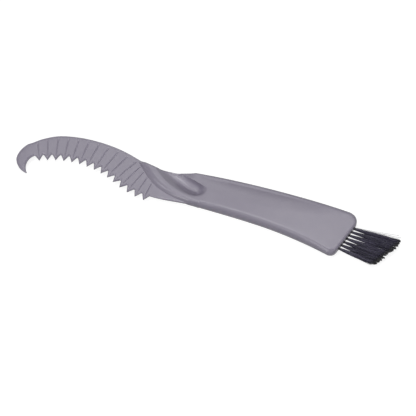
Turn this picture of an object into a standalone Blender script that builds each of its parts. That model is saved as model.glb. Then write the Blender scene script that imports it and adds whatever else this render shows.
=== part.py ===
"""Hand tool with a toothed claw at one end and a brush at the other.

One moulding makes the claw, the neck with its thumb scoops and the handle.
Tufts of bristle sit in a row of blind holes in the handle's end face, each held by a small anchor.
Units are metres. X runs along the handle towards the brush, Y across it, Z up.
The tool lies on its back, and the origin is in the middle of the flat land that it rests on.
"""

import math
import random

import bmesh
import bpy
from mathutils import Vector
from mathutils.geometry import delaunay_2d_cdt

# Thicknesses and edges of the moulding
GRIP_THICKNESS = 0.0074
NECK_THICKNESS = 0.0066
BRUSH_END_THICKNESS = 0.0060
CLAW_THICKNESS = 0.0016
TOOTH_EDGE_THICKNESS = 0.0007
TOOTH_BEVEL_WIDTH = 0.0011
SPINE_BEVEL_WIDTH = 0.0020
SPINE_BEVEL_DROP = 0.0003
NEAR_EDGE_ROUND = 0.0029
FAR_EDGE_ROUND = 0.0030
END_EDGE_ROUND = 0.0013
CROWN_SLOPE = 0.035
CROWN_CURVE = 10.0

# Handle outline: one arc along the far edge, two that share a peak along the near edge
NEAR_PEAK_X = 0.016
NEAR_PEAK_Y = -0.0110
NEAR_NECK_RADIUS = 0.560
NEAR_BRUSH_RADIUS = 0.233
FAR_PEAK_X = 0.055
FAR_PEAK_Y = 0.0161
FAR_RADIUS = 0.546
END_X = 0.0711
END_SLANT = 14.8
NEAR_CORNER_ROUND = 0.0042
FAR_CORNER_ROUND = 0.0088

# Neck: the near edge steps out to the claw, and a hollow waist takes the fingers on the far edge
CLAW_START_X = -0.0500
CLAW_START_Y = -0.0158
NECK_END_X = -0.020
WAIST_X = -0.0522
WAIST_Y = 0.00415
WAIST_RADIUS = 0.0504

# Claw: teeth stand on a root line of two arcs, and the spine lies at a width above it
ROOT_NECK_RADIUS = 0.0555
ROOT_NECK_SWEEP = 24.2
ROOT_RADIUS = 0.0605
ROOT_SWEEP = 54.4
TOOTH_PITCH = 0.0054
TOOTH_DEPTH = 0.0041
GROOVE_WIDTH = 0.0009
GROOVE_DEPTH = 0.0003
GROOVE_RUNOUT = 0.0010
HOOK_HEADING = 225.0
HOOK_ARCS = ((0.0080, 45.0), (0.0105, 46.0))
CLAW_WIDTHS = ((0.008, 0.0202), (0.016, 0.0198), (0.0252, 0.0181), (0.035, 0.0167),
               (0.046, 0.0154), (0.0564, 0.0146), (0.0666, 0.0138), (0.0752, 0.0117))
HOOK_WIDTHS = ((0.0, 0.0096), (0.0033, 0.0084), (0.0063, 0.0073), (0.0098, 0.0046), (0.0146, 0.0005))

# Neck ridge and thumb scoop, as lines seen from above: X, then Y
FOOT_LINE = ((-0.0644, 0.0033), (-0.0560, -0.0040), (-0.0500, -0.0078), (-0.0444, -0.0100),
             (-0.0344, -0.0121), (-0.0264, -0.0126))
CREST_LINE = ((-0.0602, 0.0046), (-0.0541, -0.0001), (-0.0470, -0.0047), (-0.0390, -0.0075),
              (-0.0290, -0.0095), (-0.0220, -0.0100))
RIM_LINE = ((-0.0552, 0.0037), (-0.0490, -0.0011), (-0.0440, -0.0047), (-0.0380, -0.0071),
            (-0.0320, -0.0087), (-0.0260, -0.0094), (-0.0220, -0.0095))
FLOOR_LINE = ((-0.0517, 0.0046), (-0.0477, 0.0036), (-0.0405, 0.0014), (-0.0348, -0.0001),
              (-0.0290, -0.0015), (-0.0220, -0.0024))
BANK_LINE = ((-0.0400, 0.0052), (-0.0360, 0.0048), (-0.0315, 0.0040), (-0.0220, 0.0014))
# Right-hand end of the scoop: Y, then X
SCOOP_END_LINE = ((-0.0085, -0.0236), (-0.0062, -0.0199), (-0.0031, -0.0185), (0.0003, -0.0186),
                  (0.0028, -0.0200), (0.0042, -0.0220), (0.0058, -0.0244), (0.0090, -0.0301))
SCOOP_WEB = 0.0014
# The upper scoop is cut deeper than the lower one, from this X over this run
SCOOP_SHIFT = 0.0018
SCOOP_SHIFT_X = -0.050
SCOOP_SHIFT_RUN = 0.019
SCOOP_END_WALL = 0.0058
FLOOR_RISE = 0.0006
# How steeply the ridge's fillet leaves its foot, and how hollow the slope up to the bank is
FILLET_POWER = 2.4
BANK_POWER = 3.0
# How square the handle's near edge is above and below
UPPER_EDGE_POWER = 2.0
LOWER_EDGE_POWER = 4.0
BANK_START_X = -0.044
BANK_FULL_X = -0.028
BANK_BELOW_TOP = 0.0004
# Crease where the crown of the handle begins: X, then Y
CREASE_LINE = ((-0.019, -0.0014), (-0.004, -0.0014), (0.006, -0.0010), (0.016, 0.0000),
               (0.026, 0.0014), (0.042, 0.0044), (0.061, 0.0100), (0.070, 0.0136))

# Brush
TUFT_COUNT = 7
TUFT_PITCH = 0.00279
TUFT_ROW_Y = -0.0016
HOLE_DIAMETER = 0.0023
HOLE_DEPTH = 0.0060
CLEARANCE = 0.0003
TUFT_RECESS = 0.0005
STRANDS_PER_TUFT = 43
STRAND_RADIUS = 0.000085
TRIM_REACH = 0.0267
TRIM_SLANT = 28.3
TRIM_CORNER_Y = 0.0066
TRIM_CORNER_SLANT = -14.0
TRIM_RAGGED = 0.0006
BRUSH_FAN = 4.0
BRUSH_LEAN = 1.8
TUFT_SPREAD_ACROSS = 0.00075
TUFT_SPREAD_UP = 0.0012
ANCHOR_THICKNESS = 0.0004
ANCHOR_HEIGHT = 0.0016

# Rows of the moulding's mesh
NECK_ROWS = 22
SCOOP_ROWS = 14
HANDLE_ROWS = 12
END_ROWS = 8
HOOK_ROWS = 12
ROUND_STEPS = 5
HOLE_SIDES = 16

CLAW_TOP = CLAW_THICKNESS / 2
MIDDLE = GRIP_THICKNESS / 2
END_TAN = math.tan(math.radians(END_SLANT))


def clamp(t):
    return min(max(t, 0.0), 1.0)


def ease(t):
    t = clamp(t)
    return t * t * (3 - 2 * t)


def mix(a, b, t):
    return a + (b - a) * t


def smooth_through(points):
    """A function for the smooth curve through the points, straight beyond its ends."""
    xs = [p[0] for p in points]
    ys = [p[1] for p in points]
    slopes = [(y1 - y0) / (x1 - x0) for x0, x1, y0, y1 in zip(xs, xs[1:], ys, ys[1:])]
    inner = [0.0 if a * b <= 0 else 2 * a * b / (a + b) for a, b in zip(slopes, slopes[1:])]
    tangents = [slopes[0]] + inner + [slopes[-1]]

    def value(x):
        if x <= xs[0]:
            return ys[0] + tangents[0] * (x - xs[0])
        if x >= xs[-1]:
            return ys[-1] + tangents[-1] * (x - xs[-1])
        i = max(k for k in range(len(xs) - 1) if xs[k] <= x)
        width = xs[i + 1] - xs[i]
        t = (x - xs[i]) / width
        bend = (1 - t) ** 2 * t * tangents[i] + t * t * (t - 1) * tangents[i + 1]
        return mix(ys[i], ys[i + 1], ease(t)) + width * bend

    return value


foot_y = smooth_through(FOOT_LINE)
crest_y = smooth_through(CREST_LINE)
rim_y = smooth_through(RIM_LINE)
floor_y = smooth_through(FLOOR_LINE)
bank_y = smooth_through(BANK_LINE)
scoop_end_x = smooth_through(SCOOP_END_LINE)
crease_y = smooth_through(CREASE_LINE)


def arc_drop(radius, offset):
    """How far an arc falls from its peak at an offset along its tangent."""
    return radius - math.sqrt(max(radius * radius - offset * offset, 0.0))


def near_edge(x):
    radius = NEAR_BRUSH_RADIUS if x > NEAR_PEAK_X else NEAR_NECK_RADIUS
    handle = NEAR_PEAK_Y - arc_drop(radius, x - NEAR_PEAK_X)
    if x >= NECK_END_X:
        return handle
    share = ease((x - CLAW_START_X) / (NECK_END_X - CLAW_START_X))
    neck_end = NEAR_PEAK_Y - arc_drop(NEAR_NECK_RADIUS, NECK_END_X - NEAR_PEAK_X)
    return mix(CLAW_START_Y, neck_end, share)


def far_edge(x):
    handle = FAR_PEAK_Y - arc_drop(FAR_RADIUS, x - FAR_PEAK_X)
    if abs(x - WAIST_X) >= WAIST_RADIUS:
        return handle
    return min(handle, WAIST_Y + arc_drop(WAIST_RADIUS, x - WAIST_X))


def waist_corner_x():
    """Where the waist's arc runs out into the handle's far edge."""
    low, high = WAIST_X, WAIST_X + WAIST_RADIUS
    for _ in range(40):
        middle = (low + high) / 2
        handle = FAR_PEAK_Y - arc_drop(FAR_RADIUS, middle - FAR_PEAK_X)
        if WAIST_Y + arc_drop(WAIST_RADIUS, middle - WAIST_X) < handle:
            low = middle
        else:
            high = middle
    return (low + high) / 2


def half_thickness(x):
    """Half of the handle's thickness, constant over the middle of the grip."""
    neck_blend = ease((x - NECK_END_X) / 0.012)
    end_blend = ease((x - 0.036) / (END_X - 0.036))
    grip = mix(NECK_THICKNESS, GRIP_THICKNESS, neck_blend) / 2
    return mix(grip, BRUSH_END_THICKNESS / 2, end_blend)


def crown(x, y):
    """Fall of the handle's upper face from its crease towards the far edge."""
    past = max(y - crease_y(x), 0.0)
    fade = 1 - 0.6 * ease((x - 0.030) / (END_X - 0.030))
    return (CROWN_SLOPE * past + CROWN_CURVE * past * past) * fade


def knots(x, top, upper):
    """Heights across the neck at X, from the ridge's foot over the scoop to the bank beyond it."""
    shift = SCOOP_SHIFT * ease((x - SCOOP_SHIFT_X) / SCOOP_SHIFT_RUN)
    level = SCOOP_WEB / 2 + FLOOR_RISE * ease((-0.040 - x) / 0.012)
    bank = mix(level, top - BANK_BELOW_TOP, ease((x - BANK_START_X) / (BANK_FULL_X - BANK_START_X)))
    floor = level - shift if upper else level + shift
    return ((foot_y(x), CLAW_TOP), (crest_y(x), top), (rim_y(x), top),
            (floor_y(x), floor), (bank_y(x), min(bank, top)))


def surface(x, y, crowned):
    """Height of a face above the mid-plane, before its edges are rounded."""
    top = half_thickness(x) - (crown(x, y) if crowned else 0.0)
    if x > scoop_end_x(y) or x > RIM_LINE[-1][0] + 0.01:
        return top
    line = knots(x, top, crowned)
    if y <= line[0][0]:
        return CLAW_TOP
    height = line[-1][1]
    for k, ((y0, z0), (y1, z1)) in enumerate(zip(line, line[1:])):
        if y0 < y < y1:
            t = (y - y0) / (y1 - y0)
            shares = (1 - (1 - t) ** FILLET_POWER, t, ease(t), t ** BANK_POWER)
            height = mix(z0, z1, shares[k])
            break
    if y < line[2][0]:
        return height
    wall = SCOOP_END_WALL * (1 + 0.6 * ease((y - 0.002) / 0.004))
    t = clamp((scoop_end_x(y) - x) / wall)
    return mix(height, top, ease(1 - t))


def root_length():
    return (math.radians(ROOT_NECK_SWEEP) * ROOT_NECK_RADIUS
            + math.radians(ROOT_SWEEP) * ROOT_RADIUS)


def root_point(distance):
    """Point on the tooth root line and the direction from it to the spine."""
    start = Vector((CLAW_START_X, CLAW_START_Y))
    neck_length = math.radians(ROOT_NECK_SWEEP) * ROOT_NECK_RADIUS
    turn = min(distance, neck_length) / ROOT_NECK_RADIUS
    normal = Vector((math.sin(turn), math.cos(turn)))
    point = start + ROOT_NECK_RADIUS * (Vector((0, 1)) - normal)
    if distance > neck_length:
        centre = point - ROOT_RADIUS * normal
        turn -= (distance - neck_length) / ROOT_RADIUS
        normal = Vector((math.sin(turn), math.cos(turn)))
        point = centre + ROOT_RADIUS * normal
    return point, normal


def hook_rows():
    """Points down the inside of the hook, with the direction to its outside and the distance run."""
    point = root_point(root_length())[0]
    heading = math.radians(HOOK_HEADING)
    run = 0.0
    total = sum(radius * math.radians(turn) for radius, turn in HOOK_ARCS)
    rows = []
    for radius, turn in HOOK_ARCS:
        turn = math.radians(turn)
        centre = point + radius * Vector((-math.sin(heading), math.cos(heading)))
        steps = max(2, round(HOOK_ROWS * radius * turn / total))
        for k in range(1, steps + 1):
            angle = heading + turn * k / steps
            out = Vector((math.sin(angle), -math.cos(angle)))
            point = centre + radius * out
            rows.append((point, out, run + radius * turn * k / steps))
        heading += turn
        run += radius * turn
    return rows


def tooth_drop(t):
    """Depth of a tooth at a share of its half pitch, from its rounded valley to its tip."""
    valley = 0.25
    slope = 1 / (1 - valley / 2)
    if t < valley:
        return TOOTH_DEPTH * slope * t * t / (2 * valley)
    return TOOTH_DEPTH * slope * (t - valley / 2)


class Row:
    """One row across the moulding, from its near edge to its far edge."""

    def __init__(self, near, far, grooved=False, end_gap=None, tip=1.0):
        self.near = Vector(near)
        self.far = Vector(far)
        self.grooved = grooved
        self.end_gap = end_gap
        self.tip = tip

    def at(self, distance):
        return self.near + (self.far - self.near).normalized() * distance

    @property
    def width(self):
        return (self.far - self.near).length

    def crossing(self, line, limit):
        """Distance at which the row crosses a line seen from above."""
        low, high = 0.0, limit
        if self.at(low).y > line(self.at(low).x):
            return low
        if self.at(high).y < line(self.at(high).x):
            return high
        for _ in range(40):
            middle = (low + high) / 2
            point = self.at(middle)
            if point.y < line(point.x):
                low = middle
            else:
                high = middle
        return (low + high) / 2


def claw_rows():
    """Rows from the hook's tip through the teeth to the neck."""
    length = root_length()
    widths = [(0.0, WAIST_Y - CLAW_START_Y)] + list(CLAW_WIDTHS)
    widths += [(length + run, width) for run, width in HOOK_WIDTHS]
    width_at = smooth_through(widths)
    rows = []
    for point, out, run in reversed(hook_rows()):
        tip = mix(0.55, 1.0, ease((HOOK_WIDTHS[-1][0] - run) / 0.006))
        rows.append(Row(point, point + out * width_at(length + run), tip=tip))
    count = max(1, round(length / TOOTH_PITCH))
    pitch = length / count
    groove = GROOVE_WIDTH / pitch
    places = (0.0, 0.06, 0.12, 0.5 - groove / 2, 0.5, 0.5 + groove / 2, 0.88, 0.94)
    for tooth in reversed(range(count)):
        for place in reversed(places):
            distance = (tooth + place) * pitch
            point, normal = root_point(distance)
            drop = tooth_drop(1 - abs(1 - 2 * place))
            rows.append(Row(point - normal * drop, point + normal * width_at(distance), place == 0.5))
        if tooth == count - 1:
            point, normal = root_point(length)
            rows.insert(len(rows) - len(places), Row(point, point + normal * width_at(length)))
    return rows


def handle_rows():
    """Rows from the neck to the brush end, turning to lie along the end face."""
    corner = waist_corner_x()
    scoop_end = SCOOP_END_LINE[2][0] + 0.0004
    round_start = END_X - max(NEAR_CORNER_ROUND, FAR_CORNER_ROUND)
    places = [mix(CLAW_START_X, corner, k / NECK_ROWS) for k in range(1, NECK_ROWS + 1)]
    places += [mix(corner, scoop_end, k / SCOOP_ROWS) for k in range(1, SCOOP_ROWS + 1)]
    places += [mix(scoop_end, round_start, k / HANDLE_ROWS) for k in range(1, HANDLE_ROWS + 1)]
    rows = []
    for x in places:
        slant = END_TAN * clamp((x - scoop_end) / (round_start - scoop_end))
        rows.append(Row(*row_ends(x, slant)))
    for k in range(1, END_ROWS + 1):
        gap = (END_X - round_start) * (1 - math.sin(math.pi / 2 * k / END_ROWS))
        near, far = row_ends(END_X - gap, END_TAN)
        along = (far - near).normalized()
        near = near + along * corner_inset(NEAR_CORNER_ROUND, gap)
        far = far - along * corner_inset(FAR_CORNER_ROUND, gap)
        rows.append(Row(near, far, end_gap=gap))
    return rows


def row_ends(x, slant):
    """Where a slanted row through X meets the two edges."""
    near, far = Vector((x, near_edge(x))), Vector((x, far_edge(x)))
    for _ in range(8):
        near = Vector((x + slant * near.y, near_edge(near.x)))
        far = Vector((x + slant * far.y, far_edge(far.x)))
    return near, far


def corner_inset(radius, gap):
    if gap >= radius:
        return 0.0
    return arc_drop(radius, radius - gap)


def lanes(row, crowned):
    """Distances and heights across one face of a row, from its near edge to its far edge."""
    width = row.width
    far_x = row.at(width).x
    handle = ease((far_x - waist_corner_x()) / 0.012)
    far_round = min(mix(SPINE_BEVEL_WIDTH, FAR_EDGE_ROUND, handle), 0.45 * width)
    far_wall = CLAW_TOP - SPINE_BEVEL_DROP * (1 - handle)
    shoulder = width - far_round
    foot = min(row.crossing(foot_y, shoulder), shoulder)
    crest = NEAR_EDGE_ROUND
    if row.near.x < NECK_END_X:
        crest = max(row.crossing(crest_y, shoulder), foot)
    # The thin edge of the teeth grows into the handle's rounded edge over the neck
    handle_edge = ease((row.near.x + 0.036) / 0.012)
    power = mix(FILLET_POWER, UPPER_EDGE_POWER if crowned else LOWER_EDGE_POWER, handle_edge)
    neck = ease((row.near.x - CLAW_START_X) / (NECK_END_X - CLAW_START_X))
    edge_wall = mix(TOOTH_EDGE_THICKNESS / 2, CLAW_TOP, neck)
    bevel = min(mix(TOOTH_BEVEL_WIDTH, 0.0003, neck), 0.3 * width, foot)
    groove = GROOVE_DEPTH if row.grooved else 0.0
    line = [(0.0, 0.0), (0.0, edge_wall)]
    line.append((bevel, CLAW_TOP - groove))
    line.append((max(foot - GROOVE_RUNOUT, bevel), CLAW_TOP - groove))
    line.append((foot, CLAW_TOP))

    def height(distance):
        point = row.at(distance)
        return surface(point.x, point.y, crowned)

    top = height(crest)
    for k in range(1, ROUND_STEPS):
        angle = math.pi / 2 * k / ROUND_STEPS
        share = 1 - math.cos(angle)
        swept = 1 - (1 - share) ** power
        distance = mix(foot, crest, share)
        line.append((distance, mix(CLAW_TOP, top, swept) if crest > foot else height(distance)))
    line.append((crest, top))
    spread = ease((row.near.x + 0.018) / 0.012)
    marks = [crest]
    for k, curve in enumerate((rim_y, floor_y, bank_y)):
        followed = max(row.crossing(curve, shoulder), marks[-1]) if spread < 1 else 0.0
        marks.append(mix(followed, mix(crest, shoulder, (k + 1) / 4), spread))
    line.append((marks[1], height(marks[1])))
    for before, after in zip(marks[1:], marks[2:]):
        for share in (0.25, 0.5, 0.75, 1.0):
            distance = mix(before, after, share)
            line.append((distance, height(distance)))
    between = mix(marks[-1], shoulder, 0.5)
    line.append((between, height(between)))
    edge_top = height(shoulder)
    for k in range(ROUND_STEPS):
        angle = math.pi / 2 * k / (ROUND_STEPS - 1)
        distance = shoulder + far_round * math.sin(angle)
        line.append((distance, mix(min(far_wall, edge_top), edge_top, math.cos(angle))))
    line.append((width, 0.0))
    scale = row.tip
    if row.end_gap is not None and row.end_gap < END_EDGE_ROUND:
        lost = arc_drop(END_EDGE_ROUND, END_EDGE_ROUND - row.end_gap)
        scale = 1 - lost / (BRUSH_END_THICKNESS / 2)
    return [(distance, z * scale) for distance, z in line]


def ring(row):
    """Closed loop of points round a row: across the upper face and back across the lower one."""
    points = [(*row.at(distance), z) for distance, z in lanes(row, True)]
    points += [(*row.at(distance), -z) for distance, z in reversed(lanes(row, False)[1:-1])]
    return points


def new_object(name, mesh, colour, roughness, metallic=0.0):
    material = bpy.data.materials.new(name)
    material.use_nodes = True
    shader = material.node_tree.nodes["Principled BSDF"]
    shader.inputs["Base Color"].default_value = (*colour, 1)
    shader.inputs["Roughness"].default_value = roughness
    shader.inputs["Metallic"].default_value = metallic
    mesh.materials.append(material)
    mesh.shade_smooth()
    mesh.set_sharp_from_angle(angle=math.radians(35))
    obj = bpy.data.objects.new(name, mesh)
    bpy.context.scene.collection.objects.link(obj)
    return obj


def finish_mesh(name, bm):
    mesh = bpy.data.meshes.new(name)
    bm.to_mesh(mesh)
    bm.free()
    return mesh


def make_moulding():
    rows = claw_rows() + handle_rows()
    bm = bmesh.new()
    loops = [[bm.verts.new(point) for point in ring(row)] for row in rows]
    for before, after in zip(loops, loops[1:]):
        for k in range(len(before)):
            j = (k + 1) % len(before)
            bm.faces.new((before[k], before[j], after[j], after[k]))
    bm.faces.new(reversed(loops[0]))
    bm.faces.new(loops[-1])
    bmesh.ops.remove_doubles(bm, verts=bm.verts, dist=0.000002)
    bmesh.ops.recalc_face_normals(bm, faces=bm.faces)
    handle = new_object("handle_and_claw", finish_mesh("handle_and_claw", bm), (0.288, 0.270, 0.322), 0.42)
    handle.location.z = MIDDLE
    return handle


def tuft_places():
    """Middle of each hole's mouth, with the tuft's place in the row from -1 to 1."""
    slant = math.radians(END_SLANT)
    for k in range(TUFT_COUNT):
        step = k - (TUFT_COUNT - 1) / 2
        y = TUFT_ROW_Y + TUFT_PITCH * math.cos(slant) * step
        yield Vector((END_X + END_TAN * y, y, MIDDLE)), 2 * step / max(TUFT_COUNT - 1, 1)


def drill_holes(handle):
    for mouth, _ in tuft_places():
        bpy.ops.mesh.primitive_cylinder_add(vertices=HOLE_SIDES, radius=HOLE_DIAMETER / 2,
                                            depth=2 * HOLE_DEPTH, location=mouth,
                                            rotation=(0, math.pi / 2, 0))
        cutter = bpy.context.object
        cutter.name = "hole_cutter"
        cutter.hide_render = True
        cutter.display_type = "WIRE"
        cut = handle.modifiers.new("tuft hole", "BOOLEAN")
        cut.operation = "DIFFERENCE"
        cut.solver = "EXACT"
        cut.object = cutter


def strand_outlines(radius, rng):
    """Middles and corner points of a tuft's strands, as seen from the front."""
    middles, outlines = [], []
    for k in range(STRANDS_PER_TUFT):
        distance = radius * math.sqrt((k + 0.5) / STRANDS_PER_TUFT)
        angle = k * math.pi * (3 - math.sqrt(5))
        middle = Vector((math.cos(angle), math.sin(angle))) * distance
        turn = rng.uniform(0, 2 * math.pi / 3)
        corners = [turn + 2 * math.pi * corner / 3 for corner in range(3)]
        middles.append(middle)
        outlines.append([middle + Vector((math.cos(a), math.sin(a))) * STRAND_RADIUS for a in corners])
    return middles, outlines


def trim_planes():
    """The slanted plane that the brush is trimmed to, and the one that takes off its far corner."""
    point = Vector((END_X + END_TAN * TUFT_ROW_Y + TRIM_REACH, TUFT_ROW_Y, MIDDLE))
    planes = []
    for slant in (TRIM_SLANT, TRIM_CORNER_SLANT):
        slant = math.radians(slant)
        planes.append((point.copy(), Vector((math.cos(slant), -math.sin(slant), 0))))
        past = TRIM_CORNER_Y - TUFT_ROW_Y
        point += Vector((past * math.tan(slant), past, 0))
    return planes


def make_tuft(name, mouth, place, rng):
    """A round base just inside the hole, with strands drawn out of its face to the trimmed ends."""
    base_radius = HOLE_DIAMETER / 2 - CLEARANCE
    base_length = HOLE_DEPTH - TUFT_RECESS - ANCHOR_HEIGHT - 2 * CLEARANCE
    spread_radius = base_radius - STRAND_RADIUS * 1.3
    sides = 12
    points = [Vector((math.cos(a), math.sin(a))) * base_radius
              for a in (2 * math.pi * k / sides for k in range(sides))]
    loops = [list(range(sides))]
    middles, outlines = strand_outlines(spread_radius, rng)
    for outline in outlines:
        loops.append(list(range(len(points), len(points) + 3)))
        points += outline
    flat, _, faces, _, _, sources = delaunay_2d_cdt(points, [], loops, 1, 1e-9)
    face_x = mouth.x - TUFT_RECESS
    bm = bmesh.new()
    front = [bm.verts.new((face_x, mouth.y + p.x, mouth.z + p.y)) for p in flat]
    strands = {}
    for corners, source in zip(faces, sources):
        face = bm.faces.new([front[c] for c in corners])
        if max(source) > 0:
            strands[face] = max(source) - 1
    rim = [edge for edge in bm.edges if edge.is_boundary]
    walls = bmesh.ops.extrude_edge_only(bm, edges=rim)["geom"]
    back = [v for v in walls if isinstance(v, bmesh.types.BMVert)]
    bmesh.ops.translate(bm, verts=back, vec=(-base_length, 0, 0))
    back_edges = [e for e in walls if isinstance(e, bmesh.types.BMEdge)]
    bmesh.ops.contextual_create(bm, geom=back_edges)
    fan = math.radians(BRUSH_FAN * place - BRUSH_LEAN)
    trims = trim_planes()
    for face, number in strands.items():
        middle = middles[number]
        start = Vector((face_x, mouth.y + middle.x, mouth.z + middle.y))
        way = Vector((1, math.tan(fan) + middle.x / spread_radius * TUFT_SPREAD_ACROSS / TRIM_REACH,
                      middle.y / spread_radius * TUFT_SPREAD_UP / TRIM_REACH))
        reach = min((point - start).dot(normal) / way.dot(normal) for point, normal in trims)
        reach -= rng.uniform(0, TRIM_RAGGED)
        roots = list(face.verts)
        tips = [bm.verts.new(v.co + way * reach) for v in roots]
        for k in range(3):
            j = (k + 1) % 3
            bm.faces.new((roots[k], roots[j], tips[j], tips[k]))
        bm.faces.new(tips)
    bmesh.ops.delete(bm, geom=list(strands), context="FACES_ONLY")
    bmesh.ops.recalc_face_normals(bm, faces=bm.faces)
    return new_object(name, finish_mesh(name, bm), (0.012, 0.012, 0.018), 0.45)


def make_anchor(name, mouth):
    """A short flat strip across the bottom of the hole, behind the tuft's base."""
    back = mouth - Vector((HOLE_DEPTH - CLEARANCE - ANCHOR_HEIGHT / 2, 0, 0))
    size = (ANCHOR_HEIGHT, ANCHOR_THICKNESS, HOLE_DIAMETER - 2 * CLEARANCE)
    bm = bmesh.new()
    for v in bmesh.ops.create_cube(bm, size=1)["verts"]:
        v.co = back + v.co * Vector(size)
    return new_object(name, finish_mesh(name, bm), (0.6, 0.6, 0.58), 0.3, 1.0)


def main():
    for obj in list(bpy.data.objects):
        bpy.data.objects.remove(obj, do_unlink=True)
    handle = make_moulding()
    drill_holes(handle)
    rng = random.Random(7)
    for number, (mouth, place) in enumerate(tuft_places(), 1):
        make_tuft(f"bristle_tuft_{number}", mouth, place, rng)
        make_anchor(f"tuft_anchor_{number}", mouth)


main()
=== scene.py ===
import math
import random

import bmesh
import bpy
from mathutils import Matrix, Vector


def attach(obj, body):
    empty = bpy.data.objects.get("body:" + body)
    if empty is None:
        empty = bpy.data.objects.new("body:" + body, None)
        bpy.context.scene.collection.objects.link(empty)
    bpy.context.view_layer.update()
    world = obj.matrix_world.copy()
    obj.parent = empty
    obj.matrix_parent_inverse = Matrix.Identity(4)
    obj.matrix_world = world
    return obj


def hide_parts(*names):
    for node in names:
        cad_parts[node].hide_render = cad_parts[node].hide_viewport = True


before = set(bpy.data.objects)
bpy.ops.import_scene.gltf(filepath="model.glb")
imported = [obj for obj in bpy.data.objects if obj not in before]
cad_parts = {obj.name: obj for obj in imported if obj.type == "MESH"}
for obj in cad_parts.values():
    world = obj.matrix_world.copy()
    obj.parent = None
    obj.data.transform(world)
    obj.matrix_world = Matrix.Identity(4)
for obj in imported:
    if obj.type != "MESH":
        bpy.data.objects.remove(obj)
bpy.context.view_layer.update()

# Sizes of the tool, the same as in the CAD source, in metres, with angles in degrees
GRIP_THICKNESS = 0.0074
NECK_THICKNESS = 0.0066
BRUSH_END_THICKNESS = 0.0060
CLAW_THICKNESS = 0.0016
TOOTH_EDGE_THICKNESS = 0.0007
TOOTH_BEVEL_WIDTH = 0.0011
SPINE_BEVEL_WIDTH = 0.0020
SPINE_BEVEL_DROP = 0.0003
NEAR_EDGE_ROUND = 0.0029
FAR_EDGE_ROUND = 0.0030
END_EDGE_ROUND = 0.0013
CROWN_SLOPE = 0.035
CROWN_CURVE = 10.0
NEAR_PEAK_X = 0.016
NEAR_PEAK_Y = -0.0110
NEAR_NECK_RADIUS = 0.560
NEAR_BRUSH_RADIUS = 0.233
FAR_PEAK_X = 0.055
FAR_PEAK_Y = 0.0161
FAR_RADIUS = 0.546
END_X = 0.0711
END_SLANT = 14.8
NEAR_CORNER_ROUND = 0.0042
FAR_CORNER_ROUND = 0.0088
CLAW_START_X = -0.0500
CLAW_START_Y = -0.0158
NECK_END_X = -0.020
WAIST_X = -0.0522
WAIST_Y = 0.00415
WAIST_RADIUS = 0.0504
ROOT_NECK_RADIUS = 0.0555
ROOT_NECK_SWEEP = 24.2
ROOT_RADIUS = 0.0605
ROOT_SWEEP = 54.4
TOOTH_PITCH = 0.0054
TOOTH_DEPTH = 0.0041
GROOVE_WIDTH = 0.0009
GROOVE_DEPTH = 0.0003
GROOVE_RUNOUT = 0.0010
HOOK_HEADING = 225.0
HOOK_ARCS = ((0.0080, 45.0), (0.0105, 46.0))
CLAW_WIDTHS = ((0.008, 0.0202), (0.016, 0.0198), (0.0252, 0.0181), (0.035, 0.0167),
               (0.046, 0.0154), (0.0564, 0.0146), (0.0666, 0.0138), (0.0752, 0.0117))
HOOK_WIDTHS = ((0.0, 0.0096), (0.0033, 0.0084), (0.0063, 0.0073), (0.0098, 0.0046), (0.0146, 0.0005))
FOOT_LINE = ((-0.0644, 0.0033), (-0.0560, -0.0040), (-0.0500, -0.0078), (-0.0444, -0.0100),
             (-0.0344, -0.0121), (-0.0264, -0.0126))
CREST_LINE = ((-0.0602, 0.0046), (-0.0541, -0.0001), (-0.0470, -0.0047), (-0.0390, -0.0075),
              (-0.0290, -0.0095), (-0.0220, -0.0100))
RIM_LINE = ((-0.0552, 0.0037), (-0.0490, -0.0011), (-0.0440, -0.0047), (-0.0380, -0.0071),
            (-0.0320, -0.0087), (-0.0260, -0.0094), (-0.0220, -0.0095))
FLOOR_LINE = ((-0.0517, 0.0046), (-0.0477, 0.0036), (-0.0405, 0.0014), (-0.0348, -0.0001),
              (-0.0290, -0.0015), (-0.0220, -0.0024))
BANK_LINE = ((-0.0400, 0.0052), (-0.0360, 0.0048), (-0.0315, 0.0040), (-0.0220, 0.0014))
SCOOP_END_LINE = ((-0.0085, -0.0236), (-0.0062, -0.0199), (-0.0031, -0.0185), (0.0003, -0.0186),
                  (0.0028, -0.0200), (0.0042, -0.0220), (0.0058, -0.0244), (0.0090, -0.0301))
SCOOP_WEB = 0.0014
SCOOP_SHIFT = 0.0018
SCOOP_SHIFT_X = -0.050
SCOOP_SHIFT_RUN = 0.019
SCOOP_END_WALL = 0.0058
FLOOR_RISE = 0.0006
FILLET_POWER = 2.4
UPPER_EDGE_POWER = 2.0
LOWER_EDGE_POWER = 4.0
BANK_POWER = 3.0
BANK_START_X = -0.044
BANK_FULL_X = -0.028
BANK_BELOW_TOP = 0.0004
CREASE_LINE = ((-0.019, -0.0014), (-0.004, -0.0014), (0.006, -0.0010), (0.016, 0.0000),
               (0.026, 0.0014), (0.042, 0.0044), (0.061, 0.0100), (0.070, 0.0136))
TUFT_COUNT = 7
TUFT_PITCH = 0.00279
TUFT_ROW_Y = -0.0016
HOLE_DIAMETER = 0.0023
HOLE_DEPTH = 0.0060
TRIM_REACH = 0.0267
TRIM_SLANT = 28.3
TRIM_CORNER_Y = 0.0066
TRIM_CORNER_SLANT = -14.0
BRUSH_FAN = 4.0
BRUSH_LEAN = 1.8

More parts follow.
